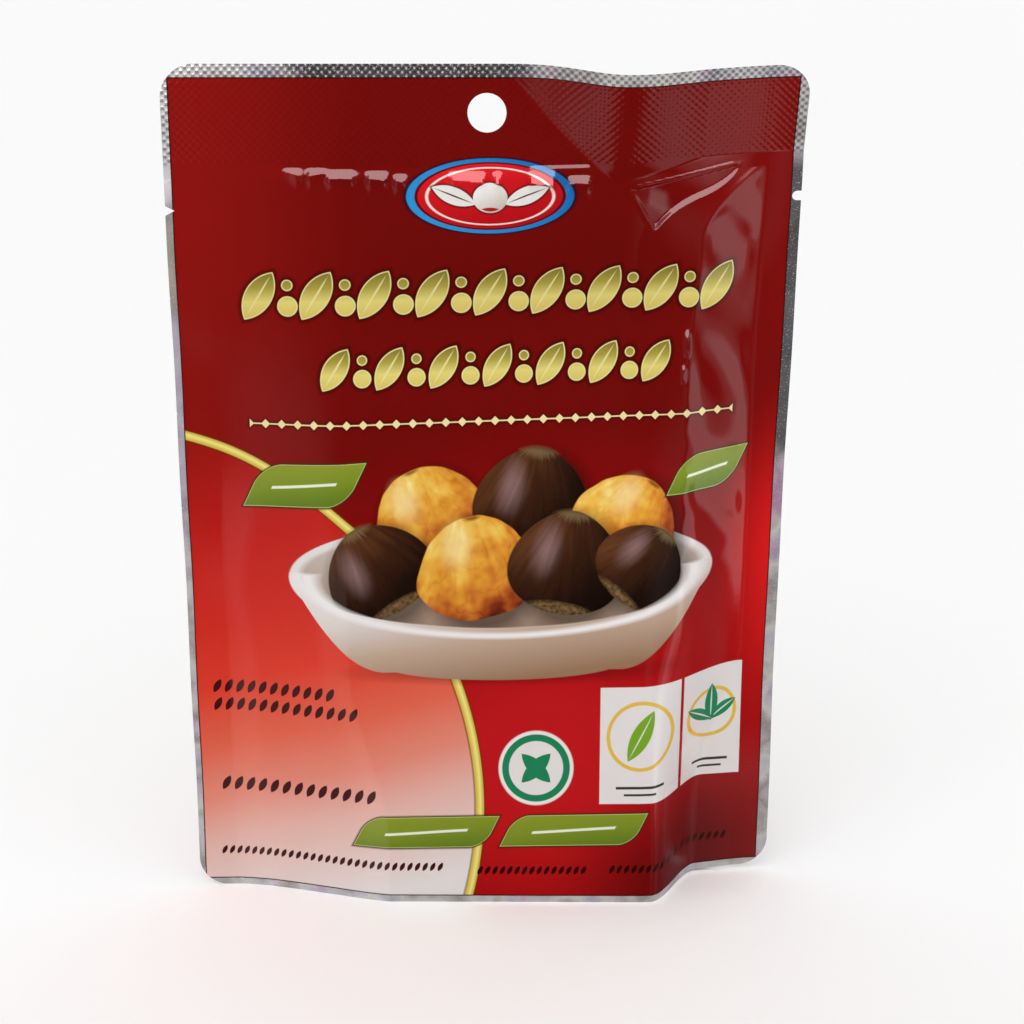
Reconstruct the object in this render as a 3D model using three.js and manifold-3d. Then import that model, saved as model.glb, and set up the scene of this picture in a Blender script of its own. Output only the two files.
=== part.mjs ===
// A filled stand-up pouch of heat-sealed foil film, for 100 g of roasted chestnuts.
//
// Millimetres, +Z up, the front faces -Y. The origin is the middle of the footprint's box,
// on the surface that the pouch stands on.
//
// The pouch is drawn as flat film first: u runs across it from seam to seam, s runs up it
// from the foot, and t runs through it from the front panel (-1) to the back panel (+1).
// place() carries a point of that flat pouch to where the filled, creased one has it, and
// the punched hole, the tear notches and the round corners are carried the same way.

import * as THREE from 'three';
import { mergeVertices } from 'three/addons/utils/BufferGeometryUtils.js';
import Module from 'manifold-3d';

const { clamp, degToRad, lerp, smoothstep } = THREE.MathUtils;

// ---- driving dimensions: the flat pouch ----
const WIDTH = 130.5; // seam edge to seam edge
const HEIGHT = 180; // foot to top edge
const BAND = 20; // knurled seal along the top
const FIN = 8.5; // plain seal down each side
const WELD = 0.5; // thickness where the panels are sealed to each other
const TOP_CORNER = 7; // corner radii
const FOOT_CORNER = 6.5;
const HOLE = { below_top: 9.6, radius: 3.9 };
const NOTCH = { below_top: 29.2, depth: 1.9, height: 2 };

// ---- driving dimensions: the filled pouch ----
const FRONT_DEPTH = 12.2; // how far the panels swell from the plane of the side seams
const BACK_DEPTH = 12;
const DRAWN_IN = { left: 0.6, right: 2.6 }; // how far the swelling draws the seams in
const TURN = { foot: 6.5, band: 12, band_from: 28 }; // how far the right seam stands behind the left one
const LIFT = { height: 1.4, foot_from: 40, whole_at: 60 }; // how much higher the right seam stands
const SWELL = { sharpness: 2.6, shoulder: 1.6 }; // the panels' side outline, foot to band

// The front panel: a ramp up from the left seam, a broad facet, and a crease at the right
// with a steep flank down to the right seam. Each pair gives the foot and the middle.
const RAMP_END = { foot: -22, middle: -30 };
const CREASE = { foot: 36.8, middle: 34 };
const FLANK_END = { foot: 48.5, middle: 57 };
const FACET_SKEW = { foot: 0.18, middle: -0.08 }; // deeper to the right, then to the left
const BACK_SLOPE = 36; // width of the back panel's slope beside each seam

// Heights on the flat film where the foot's own shape starts to run out, and the band's begins.
const FOOT_SHAPE_TO = 15;
const BAND_SHAPE_FROM = 125;

// The top seal folds forward at the right, over a V-shaped crease.
const FOLD = { angle: 24.5, from: -4, to: 28, apex_u: 26, apex_s: 155.5, left: 1, right: 0.25 };

// The dent that the fold pinches into the front panel: a flat facet with three corners.
const DENT = { depth: 1.1, rim: 2.2, corners: [[29.5, 154], [51, 158.5], [34.5, 145.5]] };

const RIPPLE = { height: 0.5, length: 47, start: 12, into_panel: 12 }; // waves up each side seal

// The gusset that closes the foot arches up inside a skirt.
const SKIRT = 1.2; // thickness of the skirt's walls
const ARCH = { left: -46, right: 44, middle_height: 6, end_height: 16 };

// ---- worked out from those ----
const EDGE = WIDTH / 2;
const SEAM = EDGE - FIN; // inner edge of a side seal
const BAND_FOOT = HEIGHT - BAND;
const MIDDLE = BAND_FOOT / 3; // the height where the foot's own shape has run out
const BEYOND = 3; // how far a cut at the outline reaches past it

/** A pair of values that holds at the foot and runs over to the one at the middle. */
function upFrom({ foot, middle }, s) {
  return lerp(foot, middle, smoothstep(s, FOOT_SHAPE_TO, MIDDLE));
}

/** A slope that leaves its start at an angle, as a panel leaves its seal, and ends flat. */
function rise(value, from, to) {
  const along = clamp((value - from) / (to - from), 0, 1);
  return lerp(smoothstep(along, 0, 1), along, 0.5);
}

/** How much of its full depth a panel has at a height: all of it low down, none at the band. */
function swell(s) {
  const up = clamp(s / BAND_FOOT, 0, 1);
  return (1 - up ** SWELL.sharpness) ** SWELL.shoulder;
}

/** Share of the way from the left seam to the right one. */
function share(u) {
  return clamp((u + SEAM) / (2 * SEAM), 0, 1);
}

/** 0 up to the height where the band's own shape begins, and 1 in the band. */
function towardsBand(s) {
  return smoothstep(s, BAND_SHAPE_FROM, BAND_FOOT);
}

/** How far back the plane of the seams lies: the stiff band turns only near its right end. */
function turned(u, s) {
  const most = lerp(TURN.foot, TURN.band, clamp(s / BAND_FOOT, 0, 1));
  const inBand = smoothstep(u, TURN.band_from, EDGE);
  return most * lerp(share(u), inBand, towardsBand(s));
}

/** The side seals' gentle waves, which fade into the panels. */
function ripple(u, s) {
  const beside = smoothstep(Math.abs(u), SEAM - RIPPLE.into_panel, EDGE);
  const wave = Math.sin((2 * Math.PI * (s + Math.sign(u) * RIPPLE.start)) / RIPPLE.length);
  return RIPPLE.height * beside * wave * smoothstep(HEIGHT - s, 0, 2 * BAND);
}

/** How far above its flat height a point stands, at the pouch's raised right side. */
function raised(u, s) {
  const atFoot = smoothstep(u, LIFT.foot_from, EDGE);
  const inBody = clamp((u + EDGE) / WIDTH, 0, 1);
  const inBand = smoothstep(u, 0, EDGE);
  const low = lerp(atFoot, inBody, smoothstep(s, 0, LIFT.whole_at));
  return LIFT.height * lerp(low, inBand, towardsBand(s));
}

/** Distance of (u, s) inside the dent's outline, negative outside it. */
function insideDent(u, s) {
  const distances = DENT.corners.map(([u0, s0], i) => {
    const [u1, s1] = DENT.corners[(i + 1) % DENT.corners.length];
    const length = Math.hypot(u1 - u0, s1 - s0);
    return ((u - u0) * (s1 - s0) - (s - s0) * (u1 - u0)) / length;
  });
  return Math.min(...distances);
}

/** How far the front panel stands in front of the seams. */
function frontBulge(u, s) {
  const middleTo = smoothstep(s, MIDDLE, 2 * MIDDLE);
  const ramp = rise(u, -SEAM, upFrom(RAMP_END, s));
  const crease = upFrom(CREASE, s);
  const flank = 1 - smoothstep(u, crease, upFrom(FLANK_END, s));
  const skew = 1 + lerp(FACET_SKEW.foot, FACET_SKEW.middle, middleTo) * clamp(u / CREASE.middle, -1, 1);
  const dent = DENT.depth * smoothstep(insideDent(u, s), 0, DENT.rim);
  return Math.max(FRONT_DEPTH * swell(s) * ramp * flank * skew - dent, 0);
}

/** How far the back panel stands behind the seams. */
function backBulge(u, s) {
  const fromSeam = SEAM - Math.abs(u);
  return BACK_DEPTH * swell(s) * smoothstep(fromSeam, 0, BACK_SLOPE);
}

/** How far a point of the band has folded: forward, and down with the fold's turn. */
function folded(u, s) {
  const beside = u < FOLD.apex_u ? FOLD.left * (FOLD.apex_u - u) : FOLD.right * (u - FOLD.apex_u);
  const crease = u < FOLD.apex_u ? FOLD.apex_s + beside : Math.min(FOLD.apex_s + beside, BAND_FOOT);
  const above = Math.max(s - crease, 0);
  const angle = degToRad(FOLD.angle) * smoothstep(u, FOLD.from, FOLD.to);
  return { forward: above * Math.sin(angle), down: above * (1 - Math.cos(angle)) };
}

/** Where the filled pouch has the point (u, t, s) of the flat one. */
function place(u, t, s) {
  const drawnIn = (u < 0 ? DRAWN_IN.left : DRAWN_IN.right) * swell(s);
  const fold = folded(u, s);
  const seams = turned(u, s) + ripple(u, s) - fold.forward;
  const front = seams - WELD / 2 - frontBulge(u, s);
  const back = seams + WELD / 2 + backBulge(u, s);
  const x = u * (1 - drawnIn / EDGE);
  const y = (front + back) / 2 + (t * (back - front)) / 2;
  return [x, y, s + raised(u, s) - fold.down];
}

/** Values from zone to zone: each zone is [first, last, number of steps]. */
function stations(zones) {
  const values = [zones[0][0]];
  for (const [first, last, steps] of zones) {
    for (let i = 1; i <= steps; i++) {
      values.push(lerp(first, last, i / steps));
    }
  }
  return values;
}

/** Moves every vertex of a geometry by carry(x, y, z), and leaves only its positions. */
function carried(geometry, carry) {
  const position = geometry.getAttribute('position');
  for (let i = 0; i < position.count; i++) {
    position.setXYZ(i, ...carry(position.getX(i), position.getY(i), position.getZ(i)));
  }
  geometry.deleteAttribute('normal');
  geometry.deleteAttribute('uv');
  return mergeVertices(geometry, 1e-4);
}

/** A closed block of one cell for each step of the three lists, carried corner by corner. */
function block(across, through, up, carry) {
  const steps = [across, through, up].map((list) => list.length - 1);
  const cells = new THREE.BoxGeometry(...steps, ...steps);
  return carried(cells, (x, y, z) => carry(
    across[Math.round(x + steps[0] / 2)],
    through[Math.round(y + steps[1] / 2)],
    up[Math.round(z + steps[2] / 2)],
  ));
}

// ---- solids ----
const wasm = await Module();
wasm.setup();

function solid(geometry) {
  const vertProperties = new Float32Array(geometry.getAttribute('position').array);
  const triVerts = new Uint32Array(geometry.index.array);
  return new wasm.Manifold(new wasm.Mesh({ numProp: 3, vertProperties, triVerts }));
}

function geometryOf(manifold) {
  const { vertProperties, triVerts } = manifold.getMesh();
  const geometry = new THREE.BufferGeometry();
  geometry.setAttribute('position', new THREE.BufferAttribute(vertProperties, 3));
  geometry.setIndex(new THREE.BufferAttribute(triVerts, 1));
  return geometry;
}

/** The body: both panels, the side seals and the band, in one closed block. */
function pouchBody() {
  const across = stations([
    [-EDGE, -SEAM, 3],
    [-SEAM, -22, 10],
    [-22, 22, 11],
    [22, SEAM, 18],
    [SEAM, EDGE, 3],
  ]);
  const up = stations([
    [0, 6, 2],
    [6, 60, 11],
    [60, 140, 15],
    [140, 166, 14],
    [166, HEIGHT, 5],
  ]);
  return solid(block(across, [-1, 1], up, place));
}

/** A punch drawn on the flat film, u across and s up, that goes through the seals. */
function punch(outline) {
  const reach = 8; // to each side of the film's middle, in halves of the weld's thickness
  const options = { depth: 2 * reach, bevelEnabled: false, curveSegments: 10 };
  const prism = new THREE.ExtrudeGeometry(outline, options);
  return solid(carried(prism, (x, y, z) => place(x, reach - z, y)));
}

/** What a round corner leaves out: side is -1 or 1, and up is 1 at the top and -1 at the foot. */
function cornerOutline(side, up, radius) {
  const u = side * EDGE;
  const s = up > 0 ? HEIGHT : 0;
  const steps = 8;
  const points = [];
  for (let i = 0; i <= steps; i++) {
    const angle = ((Math.PI / 2) * i) / steps;
    points.push(new THREE.Vector2(
      u - side * radius * (1 - Math.cos(angle)),
      s - up * radius * (1 - Math.sin(angle)),
    ));
  }
  points.push(new THREE.Vector2(u - side * radius, s + up * BEYOND));
  points.push(new THREE.Vector2(u + side * BEYOND, s + up * BEYOND));
  points.push(new THREE.Vector2(u + side * BEYOND, s - up * radius));
  return new THREE.Shape(points);
}

function holeOutline() {
  const shape = new THREE.Shape();
  shape.absarc(0, HEIGHT - HOLE.below_top, HOLE.radius, 0, 2 * Math.PI);
  return shape;
}

/** A pointed notch at the left edge and a round-ended one at the right. */
function notchOutline(side) {
  const s = HEIGHT - NOTCH.below_top;
  const outside = side * (EDGE + BEYOND);
  const tip = side * (EDGE - NOTCH.depth);
  const half = NOTCH.height / 2;
  const shoulder = side < 0 ? side * EDGE : tip + side * half;
  return new THREE.Shape([
    new THREE.Vector2(outside, s - half),
    new THREE.Vector2(outside, s + half),
    new THREE.Vector2(shoulder, s + half),
    new THREE.Vector2(tip, s),
    new THREE.Vector2(shoulder, s - half),
  ]);
}

/** The space under the gusset, between the skirt's two walls. */
function archSpace() {
  const across = stations([[ARCH.left, ARCH.right, 26]]);
  const through = stations([[0, 1, 4]]);
  const up = stations([[0, 1, 5]]);
  return solid(block(across, through, up, (u, back, level) => {
    const end = u < 0 ? ARCH.left : ARCH.right;
    const top = lerp(ARCH.middle_height, ARCH.end_height, (u / end) ** 2);
    const s = lerp(-BEYOND, top, level);
    const [x, frontWall, z] = place(u, -1, s);
    const [, backWall] = place(u, 1, s);
    return [x, lerp(frontWall + SKIRT, backWall - SKIRT, back), z];
  }));
}

// ---- the model ----
const cuts = [
  punch(cornerOutline(-1, 1, TOP_CORNER)),
  punch(cornerOutline(1, 1, TOP_CORNER)),
  punch(cornerOutline(-1, -1, FOOT_CORNER)),
  punch(cornerOutline(1, -1, FOOT_CORNER)),
  punch(holeOutline()),
  punch(notchOutline(-1)),
  punch(notchOutline(1)),
  archSpace(),
];
const shape = cuts.reduce((rest, cut) => rest.subtract(cut), pouchBody());

const geometry = geometryOf(shape);
geometry.computeBoundingBox();
const middle = geometry.boundingBox.getCenter(new THREE.Vector3());
geometry.translate(-middle.x, -middle.y, -geometry.boundingBox.min.z);

const film = new THREE.MeshStandardMaterial({ color: 0x9c1418, roughness: 0.3, metalness: 0.1 });
const pouch = new THREE.Mesh(geometry, film);
pouch.name = 'pouch';

const model = new THREE.Group();
model.add(pouch);

export default model;
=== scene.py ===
"""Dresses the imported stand-up pouch in glossy printed film with bare foil edges.

Blender objects are in metres, +Z up, and the front faces -Y. The film is drawn flat first, in
millimetres: u runs across it, s up it from the foot, and t through it from the front panel (-1)
to the back panel (+1). place() carries a point of the flat pouch to where the filled one has it.
"""

import bmesh
import bpy
import numpy as np
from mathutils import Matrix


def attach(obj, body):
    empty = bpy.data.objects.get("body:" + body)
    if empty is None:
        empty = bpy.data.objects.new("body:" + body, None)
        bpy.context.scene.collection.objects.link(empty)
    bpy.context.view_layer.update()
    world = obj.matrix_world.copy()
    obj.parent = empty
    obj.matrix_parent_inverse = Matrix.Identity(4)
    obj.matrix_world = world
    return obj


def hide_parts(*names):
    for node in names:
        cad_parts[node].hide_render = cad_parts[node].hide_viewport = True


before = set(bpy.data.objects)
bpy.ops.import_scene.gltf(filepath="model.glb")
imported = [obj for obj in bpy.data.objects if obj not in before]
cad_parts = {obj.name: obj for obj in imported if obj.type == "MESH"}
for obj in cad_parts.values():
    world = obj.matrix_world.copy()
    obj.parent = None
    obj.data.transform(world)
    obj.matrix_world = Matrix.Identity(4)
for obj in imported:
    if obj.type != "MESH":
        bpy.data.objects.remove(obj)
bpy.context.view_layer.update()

MM = 0.001

# ---- the flat pouch ----
WIDTH = 130.5
HEIGHT = 180
BAND = 20  # knurled seal along the top
FIN = 8.5  # plain seal down each side
WELD = 0.4  # thickness where the panels are sealed to each other
TOP_CORNER = 7
FOOT_CORNER = 6.5
HOLE = {"s": 170.4, "radius": 3.9, "patch": 6}
NOTCH = {"s": 150.8, "depth": 1.9, "half": 1}
EDGE = WIDTH / 2
SEAM = EDGE - FIN
BAND_FOOT = HEIGHT - BAND
MIDDLE = BAND_FOOT / 3

# The print stops short of the film's edge and leaves bare foil. Pairs give the foot and the top.
MARGIN = {"left": (1.2, 1.5), "right": (2.4, 2), "top": 2.6, "foot": 1.5}

# ---- the filled pouch ----
MIDDLE_Y = 3.479  # where the frame's origin stands behind the left seam
FRONT_DEPTH = 12.2
BACK_DEPTH = 12
DRAWN_IN = {"left": 0.6, "right": 2.6}
TURN = {"foot": 6.5, "band": 12, "band_from": 28}
LIFT = {"height": 1.4, "foot_from": 40, "whole_at": 60}
SWELL = {"sharpness": 2.6, "shoulder": 1.6}
# u of the ramp's end, the crease and the flank's end: at the foot, and from the middle up.
RAMP_END = (-22, -30)
CREASE = (36.8, 34)
FLANK_END = (48.5, 57)
SKEW = (0.18, -0.08)  # how much deeper the panel is at the right, low down and high up
BACK_SLOPE = 36
FOOT_SHAPE_TO = 15
BAND_SHAPE_FROM = 125
FOLD = {"angle": 24.5, "from": -4, "to": 28, "u": 26, "s": 155.5, "left": 1, "right": 0.25,
        "half_width": 0.3, "softens": 0.42, "rounding": 0.4}
# The dent under the fold. Each side runs from one corner to the next, and has how far it bends, how
# wide its slope is at both ends and between them, and over how much of that its edge is rounded.
DENT = {"depth": 1.25, "corners": ((29.1, 154.6), (52.4, 158.2), (34.4, 145.4)),
        "bends": (0, 0.8, 0), "rims": ((1.3, 1.3, 1.3), (0.5, 2.1, 0.7), (0.7, 0.9, 2.2)),
        "rounded": (0.02, 0.02, 0.4), "between": 0.55}
RIDGES = ((0, 1, 0.24), (2, 0, 0.2))  # from one corner of the dent to another, and its height
RIDGE_OFF, RIDGE_WIDTH = 0.2, 0.45
RIPPLE = {"height": 0.5, "length": 47, "start": 12, "into_panel": 12}
ARCH = {"left": -46, "right": 44, "middle_height": 6, "end_height": 16, "wall": 0.45}

# ---- relief that only the film shows ----
KNURL = {"pitch": 1.6, "height": 0.05, "at_edge": (0.022, 0.08), "fade": 0.8,
         "top_edge": (176, 178), "side_edge": (55, 61), "deepens": (15, 40)}
ROLL = {"height": 0.3, "left": (-54, -42), "right": (20, 27), "rise": 3, "fade": 12}
# Small facets under the top seal: start, end, height of the upper edge, and reach down at each end.
FACETS = (
    (-41, -37.5, 159.3, 0.3, 1.6), (-36.2, -32.5, 159.3, 1.5, 0.8), (-32.3, -26.9, 158.9, 1.5, 1.7),
    (-26.2, -25.6, 158.7, 1.6, 1.4), (-24.2, -20.2, 158.7, 1.4, 1.7), (-18.8, -16.2, 158.1, 1.3, 1.4),
    (-7.6, -0.6, 158.6, 1.6, 2), (1.2, 2.6, 158.7, 2.6, 2.2), (8.4, 13.6, 158.9, 2.6, 3.2),
    (16.1, 20.8, 157.7, 1.6, 1.9), (8.6, 20.6, 159.7, 0.4, 0.4),
)
FACET = {"slope": 0.55, "corner": 0.25, "fade": 1.3}
# The flank's crease, sharper than the solid's: its u at the foot, up the panel and at its upper
# end, where it curves over to the right seam.
SHARP = {"foot": 37.5, "body": 42.6, "neck": 1.7, "neck_from": 118, "neck_to": 142, "top": 58.2,
         "curves_from": 143, "apex": 158.2, "bend": 1.7, "wander": 0.3, "rounding": (4, 0.7)}
# How much of the flank runs straight down from the sharp crease, and over which heights that grows.
SHARPENS = ((0.75, 30, 80), (0.2, 112, 135))
RIDGE = {"slope": 0.14, "reach": 13, "grows": (95, 135)}
KINKS = ((42.1, 121, 0.6, 2.6), (41.6, 114.5, 0.5, 2))  # u, s, height and half length
KINK_WIDTH = 0.5
UNEVEN = {"panel": 0.1, "flank": 0.42}

# ---- the meshes ----
UV_SPAN = 200  # millimetres of film across the whole UV square
SHARP_ANGLE = 50
PANEL_STEP = 0.55
FINE = {"from": 27.5, "to": 54, "above": 143, "step": 0.33}  # over the dent and the crease
UPPER_ROWS = 0.6  # share of the panel's step between its rows high up
NOTCH_ROWS = {"step": 0.1, "beside": 0.02}
CORNER_ROWS = {"foot": 14, "top": 42}
BACK_STEP = 1
SEAL_STEP = 0.27
HOLE_RINGS = 9
FIN_PARTS = (7, 2)  # about how wide the inked and the bare part of a side seal are
GUSSET = {"step": 0.8, "rows_up": 10, "rows_over": 15}


def smooth(value, start, end):
    share = np.clip((value - start) / (end - start), 0, 1)
    return share * share * (3 - 2 * share)


def lerp(start, end, share):
    return start + (end - start) * share


def up_from(pair, s):
    """A pair of values that holds at the foot and runs over to the one at the middle."""
    return lerp(*pair, smooth(s, FOOT_SHAPE_TO, MIDDLE))


def rise(value, start, end):
    """A slope that leaves its start at an angle, as a panel leaves its seal, and ends flat."""
    along = np.clip((value - start) / (end - start), 0, 1)
    return lerp(smooth(along, 0, 1), along, 0.5)


def swell(s):
    """A panel's share of its full depth at a height: all low down, and none at the band."""
    up = np.clip(s / BAND_FOOT, 0, 1)
    return (1 - up ** SWELL["sharpness"]) ** SWELL["shoulder"]


def towards_band(s):
    return smooth(s, BAND_SHAPE_FROM, BAND_FOOT)


def turned(u, s):
    """How far back the plane of the seams lies: the stiff band turns only near its right end."""
    most = lerp(TURN["foot"], TURN["band"], np.clip(s / BAND_FOOT, 0, 1))
    share = np.clip((u + SEAM) / (2 * SEAM), 0, 1)
    return most * lerp(share, smooth(u, TURN["band_from"], EDGE), towards_band(s))


def ripple(u, s):
    """The side seals' gentle waves, which fade into the panels."""
    beside = smooth(np.abs(u), SEAM - RIPPLE["into_panel"], EDGE)
    wave = np.sin(2 * np.pi * (s + np.sign(u) * RIPPLE["start"]) / RIPPLE["length"])
    return RIPPLE["height"] * beside * wave * smooth(HEIGHT - s, 0, 2 * BAND)


def raised(u, s):
    """How far the pouch's right side is raised above its flat height."""
    in_body = np.clip((u + EDGE) / WIDTH, 0, 1)
    low = lerp(smooth(u, LIFT["foot_from"], EDGE), in_body, smooth(s, 0, LIFT["whole_at"]))
    return LIFT["height"] * lerp(low, smooth(u, 0, EDGE), towards_band(s))


def by_line(u, s, start, end):
    """How far a point is along a line and to the right of it, and how long the line is."""
    (u0, s0), (u1, s1) = start, end
    reach = np.hypot(u1 - u0, s1 - s0)
    along = ((u - u0) * (u1 - u0) + (s - s0) * (s1 - s0)) / reach
    return along, ((u - u0) * (s1 - s0) - (s - s0) * (u1 - u0)) / reach, reach


def inside_dent(u, s):
    """How far into the dent under the fold a point is: 0 outside it, and 1 where it is deepest."""
    corners = DENT["corners"]
    nearest = np.inf
    sides = zip(corners, corners[1:] + corners[:1], DENT["bends"], DENT["rims"], DENT["rounded"])
    for start, end, bend, rims, rounded in sides:
        along, right, reach = by_line(u, s, start, end)
        share = np.clip(along / reach, 0, 1)
        rim = np.interp(share, (0, DENT["between"], 1), rims)
        inside = (right + bend * np.sin(2 * np.pi * share)) / rim
        nearest = np.minimum(nearest, past(inside, 0, rounded))
    return np.minimum(nearest, 1)


def past(value, start, rounding):
    """How far value is past start, with a rounded corner there."""
    over = np.clip(value - start, -rounding, rounding)
    return np.where(value > start + rounding, value - start, (over + rounding) ** 2 / (4 * rounding))


def sharp_crease(s):
    """u of the flank's crease at each height."""
    body = lerp(SHARP["foot"], SHARP["body"], smooth(s, 5, 60))
    body = body + SHARP["neck"] * smooth(s, SHARP["neck_from"], SHARP["neck_to"])
    low_down = smooth(s, 60, 75) * (1 - smooth(s, 100, SHARP["neck_from"]))
    body = body + SHARP["wander"] * np.sin(s * 0.9) * low_down
    curve = np.clip((s - SHARP["curves_from"]) / (SHARP["apex"] - SHARP["curves_from"]), 0, 1)
    return lerp(body, SHARP["top"], curve ** SHARP["bend"])


def down_flank(u, s):
    """0 before the sharp crease and 1 from the seam on, in a straight slope between."""
    end = up_from(FLANK_END, s) + 0.5
    crease = np.minimum(sharp_crease(s), end - 0.6)
    rounding = np.minimum(lerp(*SHARP["rounding"], smooth(s, 35, 80)), (end - crease) / 2)
    return np.clip((past(u, crease, rounding) - past(u, end, 0.5)) / (end - crease), 0, 1)


def flank(u, s):
    """How much of its depth the front panel keeps: all before the crease, none at the seam."""
    gentle = smooth(u, up_from(CREASE, s), up_from(FLANK_END, s))
    share = sum(part * smooth(s, start, end) for part, start, end in SHARPENS)
    return 1 - lerp(gentle, down_flank(u, s), share)


def crease_ridge(u, s):
    """The crease stands forward high up, so that the flank beyond it is steeper."""
    crease = sharp_crease(s)
    width = np.maximum(up_from(FLANK_END, s) - crease, 0)
    height = RIDGE["slope"] * width * smooth(s, *RIDGE["grows"])
    before = 1 + np.clip((u - crease) / RIDGE["reach"], -1, 0)
    return height * before * (1 - down_flank(u, s))


def waves(u, s, length, seed):
    """Smooth unevenness between -1 and 1, with hollows about half that length across."""
    random = np.random.default_rng(seed)
    total, count = 0, 7
    for _ in range(count):
        angle, phase = random.uniform(0, 2 * np.pi, 2)
        size = length * random.uniform(0.7, 1.5)
        total = total + np.sin(2 * np.pi * (u * np.cos(angle) + s * np.sin(angle)) / size + phase)
    return total / count


def unevenness(u, s):
    """Shallow hollows over the chestnuts, and tighter ones down the flank."""
    within = smooth(SEAM - np.abs(u), 0, 8) * smooth(s, 2, 12) * smooth(BAND_FOOT - s, 4, 20)
    crease = sharp_crease(s)
    on_flank = smooth(u - crease, 0, 3) * (1 - smooth(u, 54, 57)) * smooth(s, 45, 80)
    kinks = sum(height * np.exp(-((u - u0) / KINK_WIDTH) ** 2 - ((s - s0) / half) ** 4)
                for u0, s0, height, half in KINKS)
    broad = UNEVEN["panel"] * within * waves(u, s, length=34, seed=3)
    return broad + UNEVEN["flank"] * on_flank * waves(u * 1.5, s, length=13, seed=11) + kinks


def front_bulge(u, s):
    """How far the front panel stands in front of the seams."""
    ramp = rise(u, -SEAM, up_from(RAMP_END, s))
    skew = lerp(*SKEW, smooth(s, MIDDLE, 2 * MIDDLE))
    skewed = 1 + skew * np.clip(u / CREASE[1], -1, 1)
    full = FRONT_DEPTH * swell(s) * ramp * flank(u, s) * skewed
    relief = rolled(u, s) + crease_ridge(u, s) + unevenness(u, s) + dent_ridges(u, s)
    return np.maximum(full + relief - DENT["depth"] * inside_dent(u, s), 0)


def back_bulge(u, s):
    """How far the back panel stands behind the seams."""
    return BACK_DEPTH * swell(s) * smooth(SEAM - np.abs(u), 0, BACK_SLOPE)


def rolled(u, s):
    """The small facets under the top seal, on a low roll."""
    below = np.maximum(BAND_FOOT - s, 0)
    along = smooth(u, *ROLL["left"]) * (1 - smooth(u, *ROLL["right"]))
    total = ROLL["height"] * along * smooth(below, 0, ROLL["rise"]) * np.exp(-below / ROLL["fade"])
    corner = FACET["corner"]
    for left, right, top, left_reach, right_reach in FACETS:
        across = smooth(u, left, left + corner) * (1 - smooth(u, right - corner, right))
        reach = lerp(left_reach, right_reach, np.clip((u - left) / (right - left), 0, 1))
        height = FACET["slope"] * np.clip(top - s, 0, reach)
        total = total + across * height * np.exp(-np.maximum(top - reach - s, 0) / FACET["fade"])
    return total


def dent_ridges(u, s):
    """The thin folds that stand up along two sides of the dent."""
    total = 0
    for start, end, height in RIDGES:
        along, right, reach = by_line(u, s, DENT["corners"][start], DENT["corners"][end])
        ends = smooth(along, -0.5, 1.5) * smooth(reach - along, -0.5, 3)
        total = total + height * np.exp(-((right + RIDGE_OFF) / RIDGE_WIDTH) ** 2) * ends
    return total


def folded(u, s):
    """How far the fold moves a point of the band forward and down."""
    beside = u - FOLD["u"]
    up = np.maximum(s - FOLD["s"], 0)
    wide = FOLD["half_width"] + FOLD["softens"] * up
    valley = FOLD["right"] * beside + (FOLD["left"] + FOLD["right"]) * past(-beside, 0, wide)
    line = FOLD["s"] + np.where(beside > wide, np.minimum(valley, BAND_FOOT - FOLD["s"]), valley)
    above = past(s, line, FOLD["rounding"])
    angle = np.radians(FOLD["angle"]) * smooth(u, FOLD["from"], FOLD["to"])
    return above * np.sin(angle), above * (1 - np.cos(angle))


def knurled(u, s):
    """The top seal's pattern of small raised dots in staggered rows."""
    dots = np.cos(2 * np.pi * u / KNURL["pitch"]) * np.cos(2 * np.pi * s / KNURL["pitch"])
    at_edge = np.maximum(smooth(s, *KNURL["top_edge"]), smooth(np.abs(u), *KNURL["side_edge"]))
    height = KNURL["height"] + lerp(*KNURL["at_edge"], smooth(u, *KNURL["deepens"])) * at_edge
    return height * dots * smooth(s, BAND_FOOT, BAND_FOOT + KNURL["fade"])


def thickness(u, s):
    return WELD + front_bulge(u, s) + back_bulge(u, s)


def place(u, t, s):
    """Where the filled pouch has the point (u, t, s) of the flat one, in metres."""
    drawn_in = np.where(u < 0, DRAWN_IN["left"], DRAWN_IN["right"]) * swell(s)
    forward, down = folded(u, s)
    seams = turned(u, s) + ripple(u, s) - forward - MIDDLE_Y
    front = seams - WELD / 2 - front_bulge(u, s)
    back = seams + WELD / 2 + back_bulge(u, s)
    y = (front + back) / 2 + t * (back - front) / 2 + knurled(u, s)
    return np.stack([u * (1 - drawn_in / EDGE), y, s + raised(u, s) - down], axis=-1) * MM


# ---- the film's outline ----
def corner_cut(below_end, radius):
    """How much narrower the film is at a distance from its end, in a corner of that radius."""
    into = np.clip(radius - below_end, 0, radius)
    return radius - np.sqrt(radius ** 2 - into ** 2)


def half_width(side, s):
    """The film's edge from its middle line: side is -1 at the left and 1 at the right."""
    cut = corner_cut(s, FOOT_CORNER) + corner_cut(HEIGHT - s, TOP_CORNER)
    off = np.abs(s - NOTCH["s"]) / NOTCH["half"]
    pointed = NOTCH["depth"] * np.clip(1 - off, 0, 1)
    end = NOTCH["half"] * (1 - np.sqrt(1 - np.clip(off, 0, 1) ** 2))
    rounded = np.where(off <= 1, NOTCH["depth"] - end, 0)
    return EDGE - cut - (pointed if side < 0 else rounded)


def print_edge(side, s):
    margin = lerp(*MARGIN["left" if side < 0 else "right"], s / HEIGHT)
    return np.minimum(EDGE - margin, half_width(side, s) - 0.02)


def steps(start, end, size):
    """Values from start to end, both included, no further apart than size."""
    return np.linspace(start, end, int(np.ceil(abs(end - start) / size)) + 1)


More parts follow.
